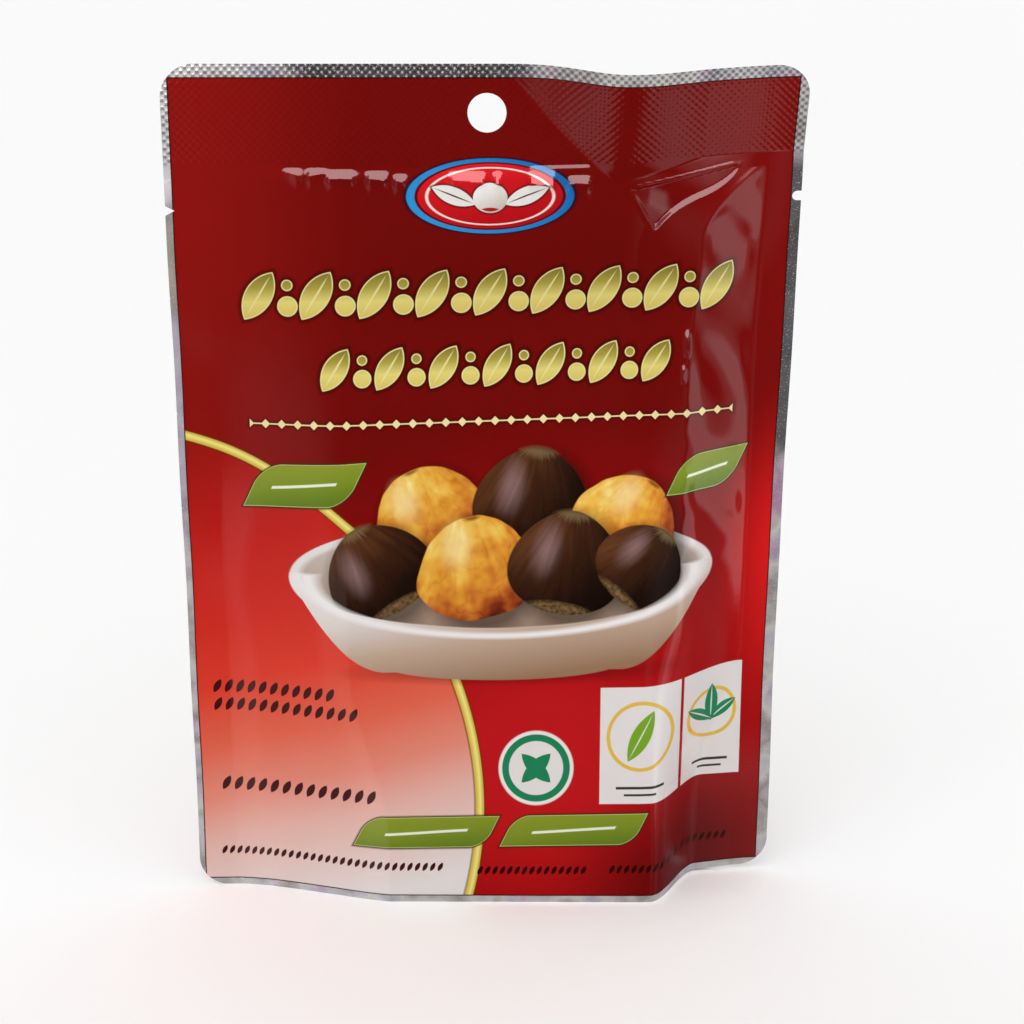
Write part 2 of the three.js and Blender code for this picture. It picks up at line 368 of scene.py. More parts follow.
def columns(s, size, extra=()):
    """u of each column at each height s, fitted to the outline, with some at the extra places."""
    stops = sorted({-SEAM, SEAM, *extra})
    spans = [(a, b, min(size, FINE["step"]) if a >= FINE["from"] and b <= FINE["to"] else size)
             for a, b in zip(stops, stops[1:])]
    inner = np.unique(np.concatenate([steps(*span) for span in spans]))
    fins = []
    for side in (-1, 1):
        edge, out = print_edge(side, s)[:, None], half_width(side, s)[:, None]
        inked, bare = (np.linspace(0, 1, int(width / size) + 1)[1:] for width in FIN_PARTS)
        fins.append(side * np.concatenate([lerp(SEAM, edge, inked), lerp(edge, out, bare)], axis=1))
    inner = np.broadcast_to(inner, (len(s), len(inner)))
    return np.concatenate([fins[0][:, ::-1], inner, fins[1]], axis=1)


def corner_rows(end, radius, count):
    """Heights that follow a round corner at one end of the film."""
    along = radius * (1 - np.cos(np.linspace(0, np.pi / 2, count)))
    return along if end == 0 else end - along


def add_object(name, data):
    thing = bpy.data.objects.new(name, data)
    bpy.context.scene.collection.objects.link(thing)
    return thing


class Skin:
    """Collects the grids of one piece on the film's own axes, and makes the Blender object."""

    def __init__(self):
        self.points, self.faces, self.count = [], [], 0

    def grid(self, u, t, s, flip=False, keep=slice(None)):
        u, t, s = (np.array(a, float) for a in np.broadcast_arrays(u, t, s))
        rows, cols = u.shape
        index = self.count + np.arange(rows * cols).reshape(rows, cols)
        quads = np.stack([index[:-1, :-1], index[:-1, 1:], index[1:, 1:], index[1:, :-1]], axis=-1)
        quads = quads[keep].reshape(-1, 4)
        self.points.append(np.stack([u, t, s], axis=-1).reshape(-1, 3))
        self.faces.append(quads[:, ::-1] if flip else quads)
        self.count += rows * cols

    def edge(self, u, s, flip=False):
        """A narrow wall through the film's thickness along a line drawn on it."""
        self.grid(np.stack([u, u]), [[-1], [1]], np.stack([s, s]), flip)

    def build(self, name, materials, choose):
        film = np.concatenate(self.points)
        faces = np.concatenate(self.faces)
        mesh = bpy.data.meshes.new(name)
        mesh.from_pydata(place(*film.T).tolist(), [], faces.tolist())
        for material in materials:
            mesh.materials.append(material)
        corners = film[faces]
        mesh.polygons.foreach_set("material_index", choose(corners.mean(axis=1)).astype(np.int32))
        uv = (corners[..., [0, 2]] + (EDGE, 0)) / UV_SPAN
        mesh.uv_layers.new(name="UVMap").data.foreach_set("uv", uv.ravel())
        merged = bmesh.new()
        merged.from_mesh(mesh)
        bmesh.ops.remove_doubles(merged, verts=merged.verts, dist=1e-7)
        merged.to_mesh(mesh)
        merged.free()
        mesh.shade_smooth()
        mesh.set_sharp_from_angle(angle=np.radians(SHARP_ANGLE))
        piece = add_object(name, mesh)
        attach(piece, "root")
        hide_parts("pouch")


# ---- pieces ----
def panel_rows(size):
    low, high = NOTCH["s"] - NOTCH["half"], NOTCH["s"] + NOTCH["half"]
    rows = np.concatenate([
        corner_rows(0, FOOT_CORNER, CORNER_ROWS["foot"]),
        [MARGIN["foot"]],
        steps(FOOT_CORNER, FINE["above"], size),
        steps(FINE["above"], low - NOTCH_ROWS["beside"], size * UPPER_ROWS),
        steps(low, high, NOTCH_ROWS["step"]),
        steps(high + NOTCH_ROWS["beside"], BAND_FOOT, size * UPPER_ROWS),
    ])
    return np.unique(rows.round(4))


def choose_foil(centres):
    """Whether each face is bare foil."""
    u, t, s = centres.T
    side = np.where(u < 0, print_edge(-1, s), print_edge(1, s))
    bare = (np.abs(u) > side) | (s > HEIGHT - MARGIN["top"]) | (s < MARGIN["foot"])
    return bare | (np.abs(t) < 0.99)


def panel(name, t, size, materials, choose):
    rows = panel_rows(size)
    u = columns(rows, size, (FINE["from"], FINE["to"]) if t < 0 else ())
    s = np.broadcast_to(rows[:, None], u.shape)
    skin = Skin()
    skin.grid(u, t, s, flip=t > 0)
    if t < 0:
        skin.edge(u[:, 0], rows)
        skin.edge(u[:, -1], rows, flip=True)
        for fin in (u[0] <= -SEAM, u[0] >= SEAM):
            skin.edge(u[0][fin], np.zeros(fin.sum()), flip=True)
    skin.build(name, materials, choose)


def seal_rows():
    patch = HOLE["patch"]
    low, high = HOLE["s"] - patch, HOLE["s"] + patch
    rows = np.concatenate([
        steps(BAND_FOOT, low, SEAL_STEP),
        steps(low, HEIGHT - TOP_CORNER, SEAL_STEP),
        corner_rows(HEIGHT, TOP_CORNER, CORNER_ROWS["top"]),
        [high, HEIGHT - MARGIN["top"]],
    ])
    return np.unique(rows.round(4))


def seal(name, t, materials, choose):
    """One side of the top seal, with the hang hole punched through a square patch of rings."""
    patch = HOLE["patch"]
    rows = seal_rows()
    u = columns(rows, SEAL_STEP, (-patch, patch))
    s = np.broadcast_to(rows[:, None], u.shape)
    middle = np.stack([u[:-1, :-1] + u[1:, 1:], s[:-1, :-1] + s[1:, 1:]]) / 2
    outside = np.maximum(np.abs(middle[0]), np.abs(middle[1] - HOLE["s"])) > patch
    skin = Skin()
    skin.grid(u, t, s, flip=t > 0, keep=outside)
    across = u[0][np.abs(u[0]) <= patch + 1e-6]
    up = rows[np.abs(rows - HOLE["s"]) <= patch + 1e-4]
    beside, over = np.ones(len(up) - 1), np.ones(len(across) - 1)
    ring_u = np.concatenate([across, beside * patch, across[-2::-1], -beside * patch])
    ring_s = np.concatenate([up[:1], over * up[0], up[1:], over * up[-1], up[-2::-1]])
    angle = np.arctan2(ring_s - HOLE["s"], ring_u)
    hole_u = HOLE["radius"] * np.cos(angle)
    hole_s = HOLE["s"] + HOLE["radius"] * np.sin(angle)
    rings = np.linspace(0, 1, HOLE_RINGS)[:, None]
    skin.grid(lerp(hole_u, ring_u, rings), t, lerp(hole_s, ring_s, rings), flip=t < 0)
    if t < 0:
        skin.edge(hole_u, hole_s)
        skin.edge(u[:, 0], rows)
        skin.edge(u[:, -1], rows, flip=True)
        skin.edge(u[-1], np.full(u.shape[1], HEIGHT))
    skin.build(name, materials, choose)


def gusset(materials):
    """The film that closes the foot, arched up inside the skirt."""
    u = steps(-SEAM, SEAM, GUSSET["step"])[None, :]
    end = np.where(u < 0, ARCH["left"], ARCH["right"])
    top = lerp(ARCH["middle_height"], ARCH["end_height"], np.minimum((u / end) ** 2, 1.1))
    up = np.linspace(0, 1, GUSSET["rows_up"])[:, None]
    over = np.linspace(0, 1, GUSSET["rows_over"])[1:-1, None]
    height = top * np.concatenate([up[:1] * 0, up, 1 + 0 * over, up[::-1], up[:1] * 0])
    wall = np.minimum(ARCH["wall"], 0.49 * thickness(u, height))
    inner = 1 - 2 * wall / thickness(u, height)
    sideways = np.concatenate([-1 + 0 * up, 2 * over - 1, 1 + 0 * up])
    t = np.concatenate([-1 + 0 * u, sideways * inner[1:-1], 1 + 0 * u])
    skin = Skin()
    skin.grid(u, t, height, flip=True)
    skin.build("gusset", materials, lambda centres: centres[:, 0] * 0)


# ---- shading ----
def feed(tree, entry, value):
    """Links a field to a node's input, or sets the input to a plain number."""
    if isinstance(value, Field):
        tree.links.new(value.output, entry)
    else:
        entry.default_value = value


def math(operation, *values, clamp=False):
    """A math node in the tree of its values, which are fields and plain numbers."""
    tree = next(value.tree for value in values if isinstance(value, Field))
    node = tree.nodes.new("ShaderNodeMath")
    node.operation, node.use_clamp = operation, clamp
    for entry, value in zip(node.inputs, values):
        feed(tree, entry, value)
    return Field(tree, node.outputs[0])


def operator(operation, swapped=False):
    """A method of fields that makes a math node, with the field last if swapped."""
    def method(field, *others):
        return math(operation, *others, field) if swapped else math(operation, field, *others)
    return method


class Field:
    """A number at each point of a surface: arithmetic on it adds nodes to its tree."""

    def __init__(self, tree, output):
        self.tree, self.output = tree, output

    __add__ = __radd__ = operator("ADD")
    __sub__, __rsub__ = operator("SUBTRACT"), operator("SUBTRACT", swapped=True)
    __mul__ = __rmul__ = operator("MULTIPLY")
    __truediv__, __pow__, __abs__ = operator("DIVIDE"), operator("POWER"), operator("ABSOLUTE")
    least, most = operator("MINIMUM"), operator("MAXIMUM")

    def __neg__(self):
        return self * -1

    def step(self, start, end):
        """0 below start and 1 above end, smoothly; or the other way round if end is lower."""
        node = self.tree.nodes.new("ShaderNodeMapRange")
        node.interpolation_type = "SMOOTHSTEP"
        ends = min(start, end), max(start, end), float(start > end), float(start < end)
        for entry, value in zip(node.inputs, (self, *ends)):
            feed(self.tree, entry, value)
        return Field(self.tree, node.outputs["Result"])

    def inside(self, soft):
        """1 where this signed distance is negative, with an edge soft millimetres wide."""
        return math("MULTIPLY_ADD", self, -1 / soft, 0.5, clamp=True)

    def cell(self, period):
        """The place within a row of cells, from the middle of each."""
        return math("WRAP", self, period / 2, -period / 2)


def length(x, y):
    return math("SQRT", math("MULTIPLY_ADD", x, x, y * y))


def turn(x, y, degrees):
    c, s = np.cos(np.radians(degrees)), np.sin(np.radians(degrees))
    return math("MULTIPLY_ADD", x, c, y * s), math("MULTIPLY_ADD", y, c, x * -s)


def leaf(x, y, half_length, half_width):
    """Signed distance of a shape between two arcs, pointed at both ends along x."""
    radius = (half_length ** 2 + half_width ** 2) / (2 * half_width)
    return length(x, abs(y) + (radius - half_width)) - radius


def block(x, y, half_length, half_width):
    return (abs(x) - half_length).most(abs(y) - half_width)


def oval(x, y, half_length, half_width):
    return (length(x / half_length, y / half_width) - 1) * half_width


def linear(red, green, blue):
    """Turns a screen's colour, 0 to 255, into the light that a shader works with."""
    return tuple(c / 12.92 if c <= 0.04045 else ((c + 0.055) / 1.055) ** 2.4
                 for c in (red / 255, green / 255, blue / 255))


class Ink:
    """Draws in a node tree: u and s are the place on the film, and colour what is printed so far."""

    def __init__(self, tree):
        self.tree = tree
        split = tree.nodes.new("ShaderNodeSeparateXYZ")
        tree.links.new(tree.nodes.new("ShaderNodeTexCoord").outputs["UV"], split.inputs[0])
        self.u = math("MULTIPLY_ADD", Field(tree, split.outputs["X"]), UV_SPAN, -EDGE)
        self.s = Field(tree, split.outputs["Y"]) * UV_SPAN
        self.colour = None

    def ramp(self, field, stops):
        """Colours that run from stop to stop as the field grows."""
        low, high = stops[0][0], stops[-1][0]
        node = self.tree.nodes.new("ShaderNodeValToRGB")
        entries = node.color_ramp.elements
        while len(entries) < len(stops):
            entries.new(0.5)
        for entry, (at, colour) in zip(entries, stops):
            entry.position = (at - low) / (high - low)
            entry.color = (*linear(*colour), 1)
        share = math("MULTIPLY_ADD", field, 1 / (high - low), -low / (high - low))
        self.tree.links.new(share.output, node.inputs["Fac"])
        return node.outputs["Color"]

    def fill(self, shape, colour, soft=0.12):
        """Prints a colour where a signed distance is negative."""
        self.lay(shape.inside(soft), colour)

    def lay(self, mask, colour):
        """Prints a colour over what is there."""
        node = self.tree.nodes.new("ShaderNodeMix")
        node.data_type = "RGBA"
        self.tree.links.new(mask.output, node.inputs["Factor"])
        self.tree.links.new(self.colour, node.inputs[6])
        if isinstance(colour, tuple):
            node.inputs[7].default_value = (*linear(*colour), 1)
        else:
            self.tree.links.new(colour, node.inputs[7])
        self.colour = node.outputs[2]

    def noise(self, x, y, seed, detail=2):
        """Noise from 0 to 1 whose patches are about 1 across in x and y."""
        node = self.tree.nodes.new("ShaderNodeTexNoise")
        join = self.tree.nodes.new("ShaderNodeCombineXYZ")
        for entry, value in zip(join.inputs, (x, y, seed)):
            feed(self.tree, entry, value)
        self.tree.links.new(join.outputs[0], node.inputs["Vector"])
        node.inputs["Scale"].default_value = 1
        node.inputs["Detail"].default_value = detail
        return Field(self.tree, node.outputs["Fac"])


# ---- the print ----
RED = ((0, (190, 24, 28)), (14, (188, 24, 28)), (24, (174, 19, 22)), (34, (162, 15, 17)),
       (50, (138, 11, 12)), (75, (110, 11, 8)), (100, (108, 11, 8)), (118, (114, 12, 9)))
GLOW = {"u": 14, "s": 32, "stretch": 1.3}
# Painted highlight: a lighter red down the right side seal, where the fin catches the light.
FIN_PAINTED_HIGHLIGHT = {"colour": (234, 32, 34), "u": 66, "s": 72, "wide": 17, "tall": 44}
# Painted shade: darker red at the foot of the flank, where it leans away from the light.
FOOT_PAINTED_SHADE = {"colour": (66, 6, 7), "u": 44, "s": 5, "wide": 34, "tall": 31, "strength": 0.72}
# Red lightened towards each side: painted light on the left ramp, and a lighter red of the print on
# the right flank. Each: start, end, strength, colour.
SIDE_REDS_AND_PAINTED_LIGHT = ((-22, -62, 0.25, (196, 34, 30)), (30, 62, 0.2, (172, 26, 26)))
CREAM = ((-10, (226, 221, 219)), (0, (226, 200, 194)), (10, (226, 178, 168)), (20, (225, 138, 120)),
         (32, (223, 101, 78)), (47, (217, 60, 43)), (60, (206, 46, 36)), (76, (193, 33, 26)),
         (88, (177, 28, 24)), (105, (143, 22, 16)))
GOLD = ((-1, (112, 102, 36)), (-0.3, (168, 154, 66)), (0.25, (222, 206, 116)), (1, (206, 184, 92)))
GOLD_LINE = ((-1, (196, 164, 60)), (-0.3, (226, 206, 100)), (0.2, (238, 226, 132)),
             (1, (190, 160, 50)))
LEAF_GREENS = ((-4, (98, 124, 34)), (0, (124, 142, 40)), (4, (136, 150, 46)))
ARC = {"u": -86.6, "s": 22.4, "radius": 84.6, "width": 1.9}
WHITE, GREEN, SHADE = (226, 221, 219), (34, 128, 86), (44, 6, 4)
LEAN = 58  # of a garland's leaves, in degrees
# Each garland: u and s of its middle, half its height, its period and its number of leaves.
GARLANDS = ((0.5, 133.2, 5.2, 11.9, 9), (2, 117.9, 4.5, 11.2, 7))
BACK_GARLAND = (0, 141, 5.2, 11.9, 7)
BEADS = {"u": 1.5, "s": 106.5, "period": 3.43, "half": 51.4}
EMBLEM = {"u": 0.6, "s": 153.6, "half": 17, "tall": 7.8}
# Each tag: its middle's u and s, half its length and height, and how much it leans.
PICTURE_TAGS = ((-38.7, 93.6, 10.9, 4.4, 0.04), (47.8, 93.8, 7, 3.8, 0.05))
SEAL_TAGS = ((-13.8, 16.5, 14.3, 3.4, 0.015), (19.2, 17, 14.9, 3.4, 0.015))
RING = {"u": 10.6, "s": 31.2, "radius": 8.2}
# Each pale label: left, right, foot, top, its leaves' colour, and each leaf's turn and half length.
LABELS = ((24.9, 43.3, 23, 48.9, (118, 166, 40), ((62, 6.2),)),
          (44, 58, 22.8, 48.9, (36, 134, 90), ((35, 3.8), (90, 4.6), (145, 3.8))))


def backdrop(ink):
    """The print's background: red with a glow low down and a field of cream inside a gold arc, with
    painted light: a highlight on the right seal, shade at the flank's foot, light on the left.
    """
    u, s = ink.u, ink.s
    ink.colour = ink.ramp(length((u - GLOW["u"]) / GLOW["stretch"], s - GLOW["s"]), RED)
    # Painted highlight: a lighter red down the right side seal.
    beside = length((u - FIN_PAINTED_HIGHLIGHT["u"]) / FIN_PAINTED_HIGHLIGHT["wide"], (s - FIN_PAINTED_HIGHLIGHT["s"]) / FIN_PAINTED_HIGHLIGHT["tall"])
    ink.lay(beside.step(1, 0), FIN_PAINTED_HIGHLIGHT["colour"])
    # Painted light on the left ramp, and lighter print red on the right flank.
    for start, end, strength, colour in SIDE_REDS_AND_PAINTED_LIGHT:
        ink.lay(u.step(start, end) * strength, colour)
    # Painted shade: darker red at the foot of the flank.
    low = length((u - FOOT_PAINTED_SHADE["u"]) / FOOT_PAINTED_SHADE["wide"], (s - FOOT_PAINTED_SHADE["s"]) / FOOT_PAINTED_SHADE["tall"])
    ink.lay(low.step(1, 0.1) * FOOT_PAINTED_SHADE["strength"], FOOT_PAINTED_SHADE["colour"])
    from_arc = length(u - ARC["u"], s - ARC["s"]) - ARC["radius"]
    ink.fill(from_arc, ink.ramp(s - (u + 62) * 0.3, CREAM))
    line = abs(from_arc) - ARC["width"] / 2
    ink.fill(line - 0.2, (96, 40, 14), 0.5)
    ink.fill(line, ink.ramp(from_arc / (ARC["width"] / 2), GOLD_LINE))
    edge = (HEIGHT - MARGIN["top"] - s).least(s - MARGIN["foot"])
    for side, (foot, top) in ((-1, MARGIN["left"]), (1, MARGIN["right"])):
        edge = edge.least(EDGE - foot - u * side + s * ((foot - top) / HEIGHT))
    ink.fill(edge - 0.25, (62, 10, 9), 0.2)


def gilded(ink, distance, height):
    """A golden ornament with a pale edge and a dark shadow round it."""
    ink.lay((distance - 0.8).inside(1) * 0.8, SHADE)
    ink.fill(distance - 0.25, (226, 216, 150), 0.15)
    ink.fill(distance, ink.ramp(height, GOLD), 0.15)


def garland(ink, middle, row, half_height, period, count):
    """A row of leaves that lean to the right, with a nut and a bud between each two."""
    across, up = ink.u - middle, ink.s - row
    lean = turn(across.cell(period), up, LEAN)
    leaves = leaf(*lean, half_height * 1.06, half_height * 0.5).most(
        -leaf(*lean, half_height * 0.9, 0.22))
    beside = (across - period / 2).cell(period)
    nuts = length(beside, up + half_height * 0.42) - half_height * 0.36
    nuts = nuts.least(length(beside, up - half_height * 0.42) - half_height * 0.18)
    nuts = nuts.most(abs(across) - period * (count - 1) / 2)
    shape = leaves.most(abs(across) - period * count / 2).least(nuts)
    gilded(ink, shape, -up / half_height)


def titles(ink):
    """Two golden garlands and a fine beaded rule."""
    for row in GARLANDS:
        garland(ink, *row)
    across = ink.u - BEADS["u"]
    x, y = across.cell(BEADS["period"]), ink.s - BEADS["s"]
    bead = (abs(x) + abs(y) - 0.95).least((0.72 - abs(x)).most(abs(y) - 0.14))
    bead = bead.most(abs(across) - BEADS["half"])
    ink.lay((bead - 0.4).inside(0.7) * 0.7, SHADE)
    ink.fill(bead, (236, 218, 160))


def emblem(ink):
    """A red oval in a blue rim, with a chestnut and two leaves in it."""
    x, y = ink.u - EMBLEM["u"], ink.s - EMBLEM["s"]
    rim = oval(x, y, EMBLEM["half"], EMBLEM["tall"])
    ink.fill(rim - 0.25, (30, 10, 30), 0.5)
    ink.fill(rim, ink.ramp(x + y, ((-18, (48, 150, 214)), (18, (26, 110, 184)))))
    ink.fill(rim + 0.75, (96, 10, 18))
    ink.fill(rim + 1.05, ink.ramp(y - x * 0.2, ((-8, (176, 16, 22)), (8, (226, 30, 38)))))
    ink.fill(abs(rim + 1.9) - 0.14, (240, 228, 218))
    along, aside = turn(abs(x) - 7.4, y - 0.2, 22)
    leaves = leaf(along, aside, 4.8, 1.8).most(-leaf(along, aside, 4.2, 0.16))
    away = length(x, (y + 0.3) * 1.12)
    nut = away - 3.5 - (y / (away + 0.01)).most(0) ** 12 * 0.9
    ink.fill(leaves.least(nut) - 0.3, (84, 8, 12), 0.5)
    ink.fill(leaves, (236, 234, 228))
    ink.fill(nut, ink.ramp(y - x * 0.5, ((-3, (206, 196, 186)), (2, (246, 243, 238)))))
    ink.fill(oval(x, y + 3.5, 2.6, 1.2).most(nut + 0.35), (176, 30, 34))


def tag(ink, u, s, half_length, half_height, lean):
    """A green slanted tag: two of its corners are round, and two run to points."""
    x, y = ink.u - u, ink.s - s
    y = math("MULTIPLY_ADD", x, -lean, y)
    x = math("MULTIPLY_ADD", y, -0.5, x)
    round_by = half_height * 0.95
    sharp = block(x, y, half_length, half_height)
    rounded = length((abs(x) - half_length + round_by).most(0),
                     (abs(y) - half_height + round_by).most(0)) - round_by
    shape = sharp + (rounded - sharp) * math("LESS_THAN", x * y, 0)
    ink.fill(shape - 0.5, (60, 36, 20), 0.5)
    ink.fill(shape - 0.15, (186, 196, 120))
    ink.fill(shape, ink.ramp(math("MULTIPLY_ADD", x, -0.1, y), LEAF_GREENS))
    sway = math("SINE", x * (1.6 / half_length)) * 0.5
    vein = (abs(y - sway) - 0.3).most(abs(x) - half_length * 0.62)
    ink.fill(vein, (232, 238, 214), 0.2)


BOWL = {"u": 3.5, "s": 73.5, "half": 46, "tall": 14, "foot": 53, "foot_half": 26, "lip": 2.4}
# Each nut: u, s, size, turn to the left in degrees, and whether it is peeled.
NUTS = ((-12.5, 87, 11.8, 24, True), (9.5, 89.5, 12.4, -8, False), (30, 84, 11.6, -34, True),
        (-23.5, 75.5, 11.4, 30, False), (-2.5, 75.5, 12.6, 8, True), (17, 76, 12.4, -10, False),
        (33.5, 75, 9.8, -40, False))
CHINA = ((-0.4, (150, 116, 90)), (0.1, (190, 164, 144)), (0.5, (218, 208, 202)), (1, (230, 225, 223)))
PEELED = ((-1.1, (58, 20, 12)), (-0.75, (122, 46, 22)), (-0.45, (174, 84, 32)),
          (-0.15, (204, 124, 42)), (0.15, (224, 158, 54)), (0.5, (236, 190, 84)),
          (0.8, (243, 214, 130)), (1.1, (247, 230, 180)))
SHELL = ((-1.2, (14, 6, 4)), (-0.4, (30, 15, 9)), (0.1, (60, 32, 17)), (0.5, (96, 58, 32)),
         (1, (132, 88, 62)))


def peeled_nut(ink, x, y, across, up, size, seed):
    """A peeled chestnut: golden, mottled and wrinkled, with dark edges."""
    narrow = across * (1 + up / size * 0.2)
    away = length(narrow, up * 1.14)
    tip = (up / (away + 0.01)).most(0) ** 18
    shape = away - size - tip * (size * 0.1) + (ink.noise(across / 6, up / 6, seed, 1) - 0.5) * 1.6
    around = across / (size * 1.7 - up) * 10
    patches = ink.noise(across / 5, up / 5, seed + 3, 2)
    wrinkles = ink.noise(around / 1.1, up / size * 1.5, seed + 4, 3)
    fold = abs(ink.noise(around / 3, up / size * 1.2, seed + 7, 2) - 0.5)
    light = (y * 0.72 - x * 0.42) / size
    tone = light * 0.8 + (patches - 0.5) * 1.5 + (wrinkles - 0.5) * 0.7
    tone = tone + fold.step(0, 0.03) * 0.1 - (away / size) ** 6 * 0.25
    ink.fill(shape, ink.ramp(tone, PEELED), 0.3)
    glow = length((narrow / size + 0.32) * 1.3, up / size - 0.42).step(0.55, 0)
    ink.lay(glow * 0.5, (250, 232, 176))
    scar = oval(across - size * 0.04, up - size * 0.86, size * 0.13, size * 0.045).most(shape)
    ink.lay(scar.inside(0.5) * 0.8, (112, 46, 26))


def whole_nut(ink, x, y, across, up, size, seed):
    """A chestnut in its shell: dark and glossy, with faint streaks from its pale tip."""
    narrow = across * (1 + up / size * 0.22)
    away = length(narrow, up * 1.14)
    tip = (up / (away + 0.01)).most(0)
    shape = away - size - tip ** 14 * (size * 0.16)
    streaks = ink.noise(across / (size * 1.5 - up) * 13, up / size, seed, 3)
    light = (y * 0.6 - x * 0.5) / size
    tone = light * 0.9 + (streaks - 0.5) * 0.6 - (away / size) ** 4 * 0.25
    ink.fill(shape, ink.ramp(tone, SHELL), 0.3)
    glow = length((narrow / size + 0.4) * 1.7, (up / size - 0.2) * 0.9).step(0.6, 0)
    ink.lay(glow * (streaks * 0.7 + 0.3) * shape.inside(0.3), (150, 118, 116))
    grit = ink.noise(across / 0.9, up / 0.9, seed + 5, 3)
    hilum = oval(across, up + size * 0.86, size * 0.62, size * 0.18).most(shape)
    ink.lay(hilum.inside(0.8) * 0.85, ink.ramp(grit, ((0.3, (62, 42, 22)), (0.7, (138, 110, 70)))))
    rays = ink.noise(across / (size * 1.1 - up) * 9, seed, 0, 2)
    crown = (oval(across, up - size, size * 0.36, size * 0.26) + (rays - 0.5) * 4).most(shape)
    ink.lay(crown.inside(1.6) * 0.55, (138, 118, 82))


def bowl(ink, front):
    """The whole white bowl, or only its front, which hides the lower nuts."""
    x, y = ink.u - BOWL["u"], ink.s - BOWL["s"]
    rim = oval(x, y, BOWL["half"], BOWL["tall"])
    mouth = oval(x, y - 0.5, BOWL["half"] - BOWL["lip"], BOWL["tall"] - BOWL["lip"])
    above = ink.s - BOWL["foot"]
    drop = (above / (BOWL["s"] - BOWL["foot"])).most(0.001).least(1)
    wall = abs(x) - BOWL["foot_half"] - drop ** 0.55 * (BOWL["half"] - BOWL["foot_half"])
    half = (BOWL["s"] - BOWL["foot"]) / 2
    foot = oval(x, above - 1.2, BOWL["foot_half"] - 1.2, 3.2)
    side = wall.most(abs(above - half) - half).least(foot)
    china = ink.ramp((y + 15) * 0.052 - x * 0.007, CHINA)
    if front:
        cover = side.least(rim).most(-mouth).most(y - 1)
        ink.fill(cover, china, 0.15)
        lip = (abs(rim + BOWL["lip"] / 2) - 0.6).most(y - 1)
        ink.fill(lip, (236, 232, 230), 0.8)
        return
    ink.lay(oval(x - 3, above, 31, 2.6).inside(1.8) * 0.5, (70, 10, 10))
    ink.fill(side, china, 0.15)
    ink.fill(rim, (226, 220, 217), 0.15)
    ink.fill(mouth, ink.ramp(-y, ((-14, (212, 200, 192)), (12, (150, 122, 100)))), 0.5)


def picture(ink):
    """Chestnuts in a bowl, and a tag at each side."""
    bowl(ink, front=False)
    for number, (u, s, size, tilt, peeled) in enumerate(NUTS):
        x, y = ink.u - u, ink.s - s
        ink.lay((length(x - 1.2, y + 1.8) - size).inside(4) * 0.65, (22, 9, 5))
        draw = peeled_nut if peeled else whole_nut
        draw(ink, x, y, *turn(x, y, tilt), size, number * 5)
    bowl(ink, front=True)
    for entry in PICTURE_TAGS:
        tag(ink, *entry)


BROWN, DARK_RED = (66, 20, 22), (50, 4, 5)
# Each row of notes: its height, start, end, scale and colour.
NOTES = ((47.6, -59.5, -33, 1.2, BROWN), (43.4, -59.5, -26, 1.2, BROWN),
         (24.4, -58.5, -22, 1.3, BROWN), (8.4, -59.5, -9, 0.8, BROWN),
         (7.6, -2, 24, 0.8, DARK_RED), (7.9, 28, 57, 0.8, DARK_RED))


def notes(ink):
    """Rows of small leaves where such a pack has its small print."""
    for row, start, end, size, colour in NOTES:
        period = size * 2.1
        count = round((end - start) / period)
        x = (ink.u - start).cell(period)
        mark = leaf(*turn(x, ink.s - row, 62), size * 1.45, size * 0.6)
        mark = mark.most(abs(ink.u - start - (count - 1) * period / 2) - count * period / 2)
        ink.fill(mark, colour)


def label(ink, left, right, foot, top, hue, blades):
    """A pale label: a leaf or a spray of leaves in a golden ring, and two rules."""
    x, y = ink.u - (left + right) / 2, ink.s - (foot + top) / 2
    half, spray = (right - left) / 2, len(blades) > 1
    ink.fill(block(x, y, half, (top - foot) / 2), WHITE)
    ink.fill(abs(length(x, y - 2) - half * 0.8) - 0.4, (226, 184, 70))
    for angle, size in blades:
        along, aside = turn(x, y + 1.6 * spray - 2, angle)
        along = along - size * 0.85 * spray
        ink.fill(leaf(along, aside, size, size * 0.34), hue)
        ink.fill(leaf(along, aside, size * 0.9, 0.16), WHITE)
    for down, share, thick in ((9.4, 0.6, 0.3), (11, 0.4, 0.25)):
        ink.fill(block(x, y + down, half * share, thick), (60, 56, 54))


def seals(ink):
    """The notes, a green ring, two pale labels and two tags."""
    notes(ink)
    x, y = ink.u - RING["u"], ink.s - RING["s"]
    ring = length(x, y) - RING["radius"]
    ink.fill(ring - 0.2, (232, 228, 224), 0.3)
    ink.fill(ring + 0.6, GREEN)
    ink.fill(ring + 2.1, WHITE)
    for angle in (45, 135):
        ink.fill(leaf(*turn(x, y, angle), 4.6, 1.7), GREEN)
    for entry in LABELS:
        label(ink, *entry)
    for entry in SEAL_TAGS:
        tag(ink, *entry)


def back_print(ink):
    """The back: the same red, a garland, and a pale panel with fine rules."""
    garland(ink, *BACK_GARLAND)
    x, y = ink.u, ink.s - 76
    field = length((abs(x) - 40).most(0), (abs(y) - 44).most(0)) - 4
    ink.fill(field - 0.9, ink.ramp(y, ((-48, (190, 140, 50)), (48, (240, 222, 140)))))
    ink.fill(field, (232, 222, 206))
    rules = (abs((ink.s - 40).cell(5.2)) - 0.22).most(block(x, y + 4, 36, 30))
    ink.fill(rules, (120, 60, 50))
    sprig = leaf(x, y - 35, 9, 3.4)
    ink.fill(sprig.most(0.25 - abs(y - 35)), (124, 142, 40))


